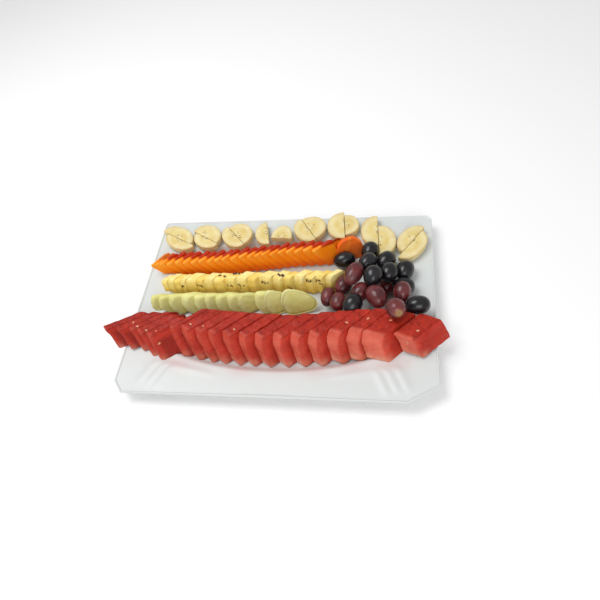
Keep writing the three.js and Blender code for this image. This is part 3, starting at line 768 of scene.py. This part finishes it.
def paint_pineapple(points, s, t, n, index):
    """Golden, paler towards the top by a share that differs from slice to slice, deeper at the foot."""
    colour = blend(PINE_LOW, PINE_TOP, step(t, 0.35, 0.92) * (0.65 + 0.35 * np.sin(index * 2.3)))
    colour = blend(colour, PINE_DEEP, step(0.4 - t, 0, 0.4) * 0.5)
    streaks = np.clip(waves(points * [1, 1, 0.3], 4, index), 0, 1)
    return blend(colour, PINE_LOW, streaks * 0.45)


pine_places = shingle(PINEAPPLE_FRONTS, PINEAPPLE_STATIONS, thickest=12)
row_piece("pineapple_slices", pine_places, PINEAPPLE_FACE, PINEAPPLE_FLESH, "pineapple_row",
          paint_pineapple, corner=2.0, edge=0.7, depth=0.25)
print("pineapple slices:", len(pine_places))

# %% [markdown]
# Where the skin was cut thin, brown eyes are left on the pineapple. Each is a cluster of five small drops, on
# the slice's top or on its left side. A spot in the material would be flat, and these stand out a little. An
# eye is given by the slice's number, how far along its face it is, and how high, with 1 for the top.

# %% Pineapple eyes
EYES = {4: [(0, 0.62)], 6: [(0, 0.66)], 8: [(0.45, 1)], 9: [(0.6, 1), (0, 0.58)], 10: [(0, 0.6), (0, 0.42)],
        12: [(0.3, 1), (0, 0.72)], 13: [(0.35, 1)], 14: [(0, 0.44), (0, 0.36)], 16: [(0, 0.78)],
        17: [(0, 0.62), (0, 0.78)]}
PINE_LONG, PINE_HIGH, PINE_CREST, PINE_FALL = 27, 28.2, 28.4, 0.11
SPECKS_IN_EYE, EYE_THICK = 5, 1.1


def eye_speck(place, share_s, share_t, random):
    """One drop of an eye. It lies on the slice's top where share_t is 1, or else on its left side."""
    origin, along, up, out = frame_of(place)
    size, on_top = place["size"], share_t == 1
    s = (share_s * PINE_LONG + random.uniform(-1.2, 1.2)) * size
    t = share_t * PINE_HIGH * size
    n = -place["thickness"] * random.uniform(0.1, 0.9)
    if on_top:
        t = (PINE_CREST - PINE_FALL * max(0.0, s - 6)) * size
    else:
        s, t = 1.4 * size, t + random.uniform(-1.5, 1.5)
    level_t = t - np.tan(np.radians(place["lean"])) * n
    middle = origin + (s + place["skew"] * n) * along + level_t * up + n * out
    lift = up if on_top else -along
    heading = np.cross(lift, along if on_top else out)
    length = random.uniform(1.8, 3.8)
    return drop(middle, heading / np.linalg.norm(heading), lift, length, length * 0.8, EYE_THICK, 12, 5)


eye_parts = []
for number, spots in EYES.items():
    random = np.random.default_rng(number)
    for share_s, share_t in spots:
        for _ in range(SPECKS_IN_EYE):
            eye_parts.append(uncoloured(*eye_speck(pine_places[number - 1], share_s, share_t, random)))
eye_points, eye_faces, _ = joined(eye_parts)
EYE_BROWN = plain("pineapple eye", linear(112, 68, 24), linear(44, 26, 12), 700, 0.6)
make_piece("pineapple_eyes", eye_points, eye_faces, EYE_BROWN)
print("specks in the pineapple's eyes:", len(eye_parts))

# %% [markdown]
# Papaya is orange, deeper towards the skin side below, and red along the saw teeth of its top, where its
# seeds were. The teeth are the upper right corners of a simple outline, so no extra shape is needed.

# %% Papaya
PAPAYA_ORANGE, PAPAYA_LIGHT = linear(255, 146, 22), linear(255, 178, 66)
PAPAYA_DEEP, PAPAYA_RED = linear(246, 104, 14), linear(184, 40, 8)
PAPAYA_FRONTS = [-165, -159, -153, -144, -133, -123, -113, -103, -93, -83, -74, -63, -52, -42, -33, -24, -14,
                 -4, 6, 16, 27, 38, 48]
PAPAYA_STATIONS = station_list("x y z turn lean size skew", [
    (-165, 30, 9, 32, 18, 1.14, 0), (-100, 34, 9, 29, 18, 1.1, 0), (0, 47, 9, 26, 16, 1.13, 0),
    (45, 50, 9, 24, 14, 1.13, 0)])
PAPAYA_FACE = [(14, 0), (24, 0), (27, 9), (27, 20), (24, 29), (19, 29), (0, 25)]
PAPAYA_END = {"x": 65, "y": 60, "z": 8, "turn": 20, "lean": 14, "thickness": 5, "skew": 0}


def paint_papaya(points, s, t, n, index):
    """Orange, lighter on the upper left, deeper at the foot, and red on the tooth at the upper right."""
    colour = blend(PAPAYA_ORANGE, PAPAYA_LIGHT, step(0.4 - s, 0, 0.4) * 0.7 * step(t, 0.4, 0.8))
    colour = blend(colour, PAPAYA_DEEP, step(0.5 - t, 0, 0.5) * 0.85)
    colour = blend(colour, PAPAYA_RED, step(t, 0.86, 0.93) * step(s, 0.34, 0.46))
    first_two = max(0.0, 1 - index / 2)
    return blend(colour, PAPAYA_LIGHT, np.full(len(s), 0.4 * first_two))


papaya_places = shingle(PAPAYA_FRONTS, PAPAYA_STATIONS, thickest=9)
row_piece("papaya_slices", papaya_places, PAPAYA_FACE, PAPAYA_FLESH, "papaya_row", paint_papaya,
          corner=1.4, edge=0.6, depth=0.15, last=PAPAYA_END)
print("papaya slices in the row:", len(papaya_places))

# %% [markdown]
# The last papaya slice lies open at the end of the row and shows its cut face: a straight foot and a round
# top, with one paler band across it.

# %% Last papaya slice
END_RADIUS, END_RISE = 16.5, 15
bow = np.linspace(0, np.pi, 40)
end_outline = [(1, 0), (2 * END_RADIUS, 0)]
end_outline += [(END_RADIUS * (1 + np.cos(a)), END_RISE + END_RADIUS * np.sin(a)) for a in bow]
points, faces, local = slice_surface(rounded(end_outline, 2.5, 120), PAPAYA_END, edge=1.2, seed=60,
                                     rough_size=10, rough_depth=0.3, side_rings=3, face_rings=14)
high = local[:, 1] / (END_RISE + END_RADIUS)
colour = blend(linear(255, 124, 44), PAPAYA_RED, step(high, 0.75, 1.0) * 0.3)
colour = blend(colour, PAPAYA_LIGHT, np.exp(-((local[:, 0] - 6 - 0.4 * local[:, 1]) / 1.6) ** 2) * 0.4)
make_piece("papaya_end_slice", points, faces, PAPAYA_FLESH, colour, ["papaya_end"], sharp=75)
print("the last slice is", 2 * END_RADIUS, "mm wide")

# %% [markdown]
# ## Banana
# Banana was cut on the slant into ovals, and each oval was halved. A half has a straight cut and a bowed rim.
# A squashed cylinder cut by a Boolean would do, but its crown and its rounded edges are easier to work out
# as rings. An oval is given by its middle, its heading and its halves, and a half by its bulge to one side,
# its length, and how far it has slid along the cut.

# %% Banana
BANANA_THICK, BANANA_REST, BANANA_KERF = 8.0, 20.6, 0.4
BANANAS = [
    (-150, 90.5, -27, [(18, 50, -2), (-15, 46, 6)]), (-112, 91, -30, [(21, 42, 0), (-15, 38, 4)]),
    (-70, 93, -48, [(-17, 42, 0), (22, 38, 1)]), (-27, 96, -77, [(-17, 38, 0)]), (-10, 86, -5, [(22, 27, 1)]),
    (25, 101, -57, [(-18, 42, 0), (23, 38, 0)]), (71, 105, -85, [(-22, 44, -1), (18, 34, -1)]),
    (113, 91, -87, [(-21, 48, -5), (21, 48, 12)]), (154.5, 78, -125, [(-18, 46, -2), (17, 50, 6)])]
BANANA_EDGE, BANANA_CROWN = 1.0, 0.35


def banana_half(bulge, length, slide, seed):
    """Points, faces, and the share of the way from the oval's middle to its rim, for a half that lies on
    its own base with its straight cut along x."""
    side, reach = np.sign(bulge), abs(bulge) - BANANA_KERF / 2
    turn = np.linspace(0, np.pi, 60)
    bowed = [(slide + length / 2 * np.cos(a), side * (BANANA_KERF / 2 + reach * np.sin(a) ** 0.85))
             for a in turn]
    outline = rounded(bowed if side > 0 else bowed[::-1], 1.2, 110)
    centre = outline.mean(axis=0)
    spoke = outline - centre
    radius = np.linalg.norm(spoke, axis=1)
    flat = 1 - BANANA_EDGE / radius
    turned = [(1 - BANANA_EDGE * (1 - np.sin(phi)) / radius, BANANA_EDGE * (1 - np.cos(phi)))
              for phi in QUARTER_TURN]
    layers = [(share * flat, 0.0) for share in (0.1, 0.4, 0.7, 0.92)] + turned
    layers += [(np.ones(len(radius)), z) for z in (2.5, 4.0, 5.5)]
    layers += [(scale, BANANA_THICK - z) for scale, z in reversed(turned)]
    layers += [(share * flat, BANANA_THICK) for share in np.linspace(0.95, 0.05, 16)]
    grid = np.array([np.column_stack([centre + spoke * scale[:, None], np.full(len(spoke), z)])
                     for scale, z in layers])
    points, faces = rings_mesh(grid, [*centre, 0.0], [*centre, BANANA_THICK])
    share = np.hypot((points[:, 0] - slide) / (length / 2), points[:, 1] / abs(bulge))
    crown = BANANA_CROWN * (1 - share ** 2) * (points[:, 2] > BANANA_THICK - 0.4)
    points = rough(points, 9, 0.16, seed)
    points[:, 2] += crown
    return points, faces, share


print("banana halves:", sum(len(halves) for _, _, _, halves in BANANAS))

# %% [markdown]
# The cut face of a banana is pale in the middle, then yellow with three faint rays, then slightly darker at
# its rim, and its straight cut has browned in places. All of it depends on the distance from the middle of
# the oval, so it is worked out for each point. Tiny brown specks are drops of their own, strewn at random.

# %% Banana slices
CREAM, BANANA_YELLOW = linear(234, 220, 170), linear(228, 206, 132)
BANANA_RIM, BANANA_BROWN = linear(222, 198, 142), linear(150, 100, 48)
SPECKS_IN_HALF, SPECK_THICK = 7, 0.35


def paint_banana(points, share, slide, number):
    """Cream, with a yellow ring and rays, a darker rim, a browned cut and a plain cream side."""
    angle = np.arctan2(points[:, 1], points[:, 0] - slide)
    ray = np.abs(np.sin(angle * 3 + number)) ** 6
    ring = step(share, 0.15, 0.45) * (1 - step(share, 0.5, 0.8))
    colour = blend(CREAM, BANANA_YELLOW, ring * 0.75)
    colour = blend(colour, BANANA_YELLOW, ray * (1 - step(share, 0.3, 0.6)) * 0.4)
    colour = blend(colour, BANANA_RIM, step(share, 0.86, 1.0) * 0.8)
    near_cut = np.exp(-(np.abs(points[:, 1]) / 0.8) ** 2) * (share < 0.95)
    browned = 0.15 + 0.3 * np.clip(waves(points, 7, number), 0, 1)
    colour = blend(colour, BANANA_BROWN, near_cut * browned)
    return blend(colour, CREAM, (points[:, 2] < BANANA_THICK - 1.2) * 0.6)


def banana_speck(bulge, length, slide, random):
    """A speck on the top of a half that lies on its own base: a flat drop that points away from the
    middle of the oval."""
    share, aim = random.uniform(0.08, 0.42), random.uniform(0.12, np.pi - 0.12)
    side = np.sign(bulge)
    across = side * max(1.4, abs(bulge) * share * np.sin(aim))
    middle = np.array([slide + length / 2 * share * np.cos(aim), across, BANANA_THICK + 0.28])
    outward = np.array([np.cos(aim), side * np.sin(aim), 0])
    long, wide = random.uniform(1.0, 2.6), random.uniform(0.6, 1.2)
    return drop(middle, outward, np.array([0, 0, 1.0]), long, wide, SPECK_THICK, 8, 4)


specks, number = [], 0
for x, y, heading, halves in BANANAS:
    turn = np.radians(heading)
    spin = np.array([[np.cos(turn), -np.sin(turn), 0], [np.sin(turn), np.cos(turn), 0], [0, 0, 1]])
    for bulge, length, slide in halves:
        number += 1
        points, faces, share = banana_half(bulge, length, slide, 300 + number)
        placed = points @ spin.T + [x, y, BANANA_REST]
        make_piece(f"banana_slice_{number}", placed, faces, BANANA_FLESH,
                   paint_banana(points, share, slide, number), [f"banana_{number}"], sharp=75)
        random = np.random.default_rng(50 + number)
        for _ in range(SPECKS_IN_HALF):
            speck_points, speck_faces = banana_speck(bulge, length, slide, random)
            specks.append(uncoloured(speck_points @ spin.T + [x, y, BANANA_REST], speck_faces))
speck_points, speck_faces, _ = joined(specks)
SPECK = plain("banana speck", linear(120, 78, 34), linear(84, 52, 24), 900, 0.6)
make_piece("banana_specks", speck_points, speck_faces, SPECK)
print("banana halves and specks:", number, len(specks))

# %% [markdown]
# ## Grapes
# A grape is a long ellipsoid, a little fuller towards one end, with a shallow dimple at the stem. A scaled
# sphere would lack both, so it is worked out as rings along its axis. Each grape is given by its middle, the
# heading and the upward tilt of its long axis, its length and its width.

# %% Grape shapes
GRAPES = {
    "black": [
        ((73, 54.5, 21.5), 10, 0, 27, 21),
        ((104, 61.5, 28.5), 80, 10, 25, 21),
        ((102, 39, 36.5), 60, 0, 25, 20),
        ((157.5, -24, 41.5), 8, 0, 26, 20.5),
        ((87.5, -22, 40), 60, 10, 25, 21.5),
        ((142.5, 10, 28), 10, 0, 26, 20.5),
        ((144.5, 33, 28), 70, 0, 25, 20.5),
        ((126.5, 23, 37.5), 80, 0, 25, 20.5),
        ((123, 45.5, 30), 60, 0, 26, 21),
        ((109, 12, 45.5), 80, 20, 25, 21.5),
    ],
    "red": [
        ((74.5, 13.5, 26), 75, 0, 25, 20),
        ((57, -1, 23.5), 85, 10, 24, 17),
        ((70.5, -13.5, 31), 80, 0, 23, 19.5),
        ((142.5, -23.5, 27), 60, 0, 23, 18.5),
        ((124.5, 18, 17.5), 60, 0, 24, 20),
        ((95, -0.5, 32.5), 60, 0, 24, 20),
        ((141, -6.5, 40.5), 80, 20, 24, 19.5),
        ((87.5, 17.5, 43), 64, 5, 30, 20),
        ((134, -37.5, 56), -70, 25, 24, 21),
        ((113.5, -14, 43), 118, 0, 28.5, 22),
    ],
}
DIMPLE = 0.9


def grape(at, heading, tilt, length, width, seed):
    """Points, faces, each point's latitude and the long axis of a grape. The half width at a latitude is
    nearly its cosine, and the stem's dimple pulls the far end in."""
    azimuth, rise = np.radians([heading, tilt])
    axis = np.array([np.cos(azimuth) * np.cos(rise), np.sin(azimuth) * np.cos(rise), np.sin(rise)])
    side = np.cross([0, 0, 1], axis)
    side /= np.linalg.norm(side)
    up = np.cross(axis, side)
    latitude = np.linspace(-np.pi / 2, np.pi / 2, 42)[1:-1]
    turn = np.linspace(0, 2 * np.pi, 56, endpoint=False)
    girth = np.cos(latitude) ** 0.94 * (1 + 0.04 * np.sin(latitude))
    dimple = DIMPLE * np.exp(-((np.pi / 2 - latitude) / 0.16) ** 2)
    run = np.sin(latitude) * length / 2 - dimple
    ring = np.cos(turn)[:, None] * side + np.sin(turn)[:, None] * up
    grid = np.array(at, float) + run[:, None, None] * axis + (girth * width / 2)[:, None, None] * ring[None]
    ends = np.array(at) - axis * length / 2, np.array(at) + axis * (length / 2 - DIMPLE)
    points, faces = rings_mesh(grid, *ends)
    share = np.concatenate([np.repeat(latitude, len(turn)), [-np.pi / 2, np.pi / 2]])
    return rough(points, 13, 0.18, seed), faces, share, axis


print("grapes:", {kind: len(grapes) for kind, grapes in GRAPES.items()})

# %% [markdown]
# Black grapes are nearly black. Red ones are a dusky purple, paler and greener round the stem. Both carry
# bloom, a thin wax that is paler and duller than the skin. It could be a second shader mixed in by a mask,
# but one shader whose colour and roughness follow a noise looks the same and exports better.

# %% Grapes
SKIN = {"black": (linear(12, 11, 13), linear(22, 18, 21), linear(32, 28, 30)),
        "red": (linear(104, 30, 32), linear(66, 14, 18), linear(150, 80, 56))}


def grape_skin(name, bloom, share, roughness):
    """Skin under patches of bloom, which is paler, bluer and duller."""
    nodes = Nodes(name)
    base = nodes.add("ShaderNodeVertexColor", layer_name="flesh").outputs["Color"]
    patches = nodes.ramp(nodes.noise(75, 5, roughness=0.6), 0.42, 0.66, 0.0, share)
    nodes.set(Base_Color=nodes.mix(patches, base, colour4(bloom)), IOR=1.4)
    nodes.set(Roughness=nodes.ramp(nodes.noise(110, 4), 0.35, 0.65, roughness - 0.06, roughness + 0.12))
    nodes.set(Coat_Weight=0.3, Coat_Roughness=0.22, Subsurface_Weight=0.05, Subsurface_Scale=0.003)
    nodes.set(Normal=nodes.bump(nodes.noise(900, 4), 0.12, 0.0003))
    return nodes.material


GRAPE_SKIN = {"black": grape_skin("black grape skin", linear(52, 52, 60), 0.25, 0.24),
              "red": grape_skin("red grape skin", linear(138, 84, 84), 0.36, 0.3)}
STEM_GREEN, STEM_TAN = linear(168, 146, 80), linear(176, 128, 78)
for kind, grapes in GRAPES.items():
    main, deep, pale_end = SKIN[kind]
    scars = []
    for index, (at, heading, tilt, length, width) in enumerate(grapes):
        points, faces, latitude, axis = grape(at, heading, tilt, length, width, 700 + index)
        colour = blend(main, deep, np.clip(0.5 + waves(points, 16, index + 3), 0, 1))
        near_stem = step(latitude, 0.75, 1.45)
        colour = blend(colour, pale_end, near_stem * 0.7)
        if kind == "red":
            colour = blend(colour, STEM_GREEN, step(latitude, 1.1, 1.5) * 0.8)
        make_piece(f"{kind}_grape_{index + 1}", points, faces, GRAPE_SKIN[kind], colour,
                   [f"grape_{kind}_{index + 1}"], sharp=80)
        scar = np.array(at) + axis * (length / 2 - 0.7)
        cross = np.cross(axis, [0, 0, 1.0])
        cross /= np.linalg.norm(cross)
        scars.append(uncoloured(*drop(scar, cross, axis, 2.6, 2.4, 0.9, 16, 7)))
    scar_points, scar_faces, _ = joined(scars)
    tone = plain(f"{kind} grape stem scar", STEM_TAN, linear(120, 84, 48), 800, 0.6)
    make_piece(f"{kind}_grape_scars", scar_points, scar_faces, tone)
    print(kind, "grapes and their stem scars:", len(grapes), len(scars))

# %% [markdown]
# ## Floor, light and background
# The dish stands on a plain white floor. A plane a little below the dish's foot is enough, and a faint glow
# of its own keeps it white beyond the lamps' reach.

# %% Floor
FLOOR_SIZE, FLOOR_DROP = 3.0, 0.0004
floor_mesh = bpy.data.meshes.new("floor")
floor_corners = [(-1, -1, 0), (1, -1, 0), (1, 1, 0), (-1, 1, 0)]
floor_mesh.from_pydata([tuple(np.array(corner) * FLOOR_SIZE) for corner in floor_corners], [], [(0, 1, 2, 3)])
floor = bpy.data.objects.new("floor", floor_mesh)
floor.location.z = -FLOOR_DROP
bpy.context.scene.collection.objects.link(floor)
floor_nodes = Nodes("white floor")
floor_nodes.set(Base_Color=(0.92, 0.92, 0.92, 1), Roughness=0.9)
floor_nodes.set(Emission_Color=(1, 1, 1, 1), Emission_Strength=0.06)
floor_mesh.materials.append(floor_nodes.material)
print("the floor is", 2 * FLOOR_SIZE, "m wide")

# %% [markdown]
# Soft shadows need broad lamps. One lamp hangs above the dish on its left, a weaker one stands at the front
# right, and an even white sky fills the rest. A sun lamp would draw hard edges between the slices.

# %% Lamps and sky
def area_light(name, at, size, power):
    """A square lamp of `size` metres that looks at the dish."""
    light = bpy.data.lights.new(name, "AREA")
    light.size, light.energy = size, power
    lamp = bpy.data.objects.new(name, light)
    lamp.location = at
    lamp.rotation_euler = (Vector((0, 0, 0.02)) - Vector(at)).to_track_quat("-Z", "Y").to_euler()
    bpy.context.scene.collection.objects.link(lamp)


area_light("key", (-0.5, 0.15, 1.2), 0.7, 9)
area_light("fill", (0.35, -1.15, 0.9), 0.9, 7)
world = bpy.data.worlds.new("sky")
world.use_nodes = True
world.node_tree.nodes["Background"].inputs["Color"].default_value = (1, 1, 1, 1)
world.node_tree.nodes["Background"].inputs["Strength"].default_value = 0.52
bpy.context.scene.world = world
bpy.context.scene.view_settings.view_transform = "Standard"
print("lamps:", [light.name for light in bpy.data.lights])
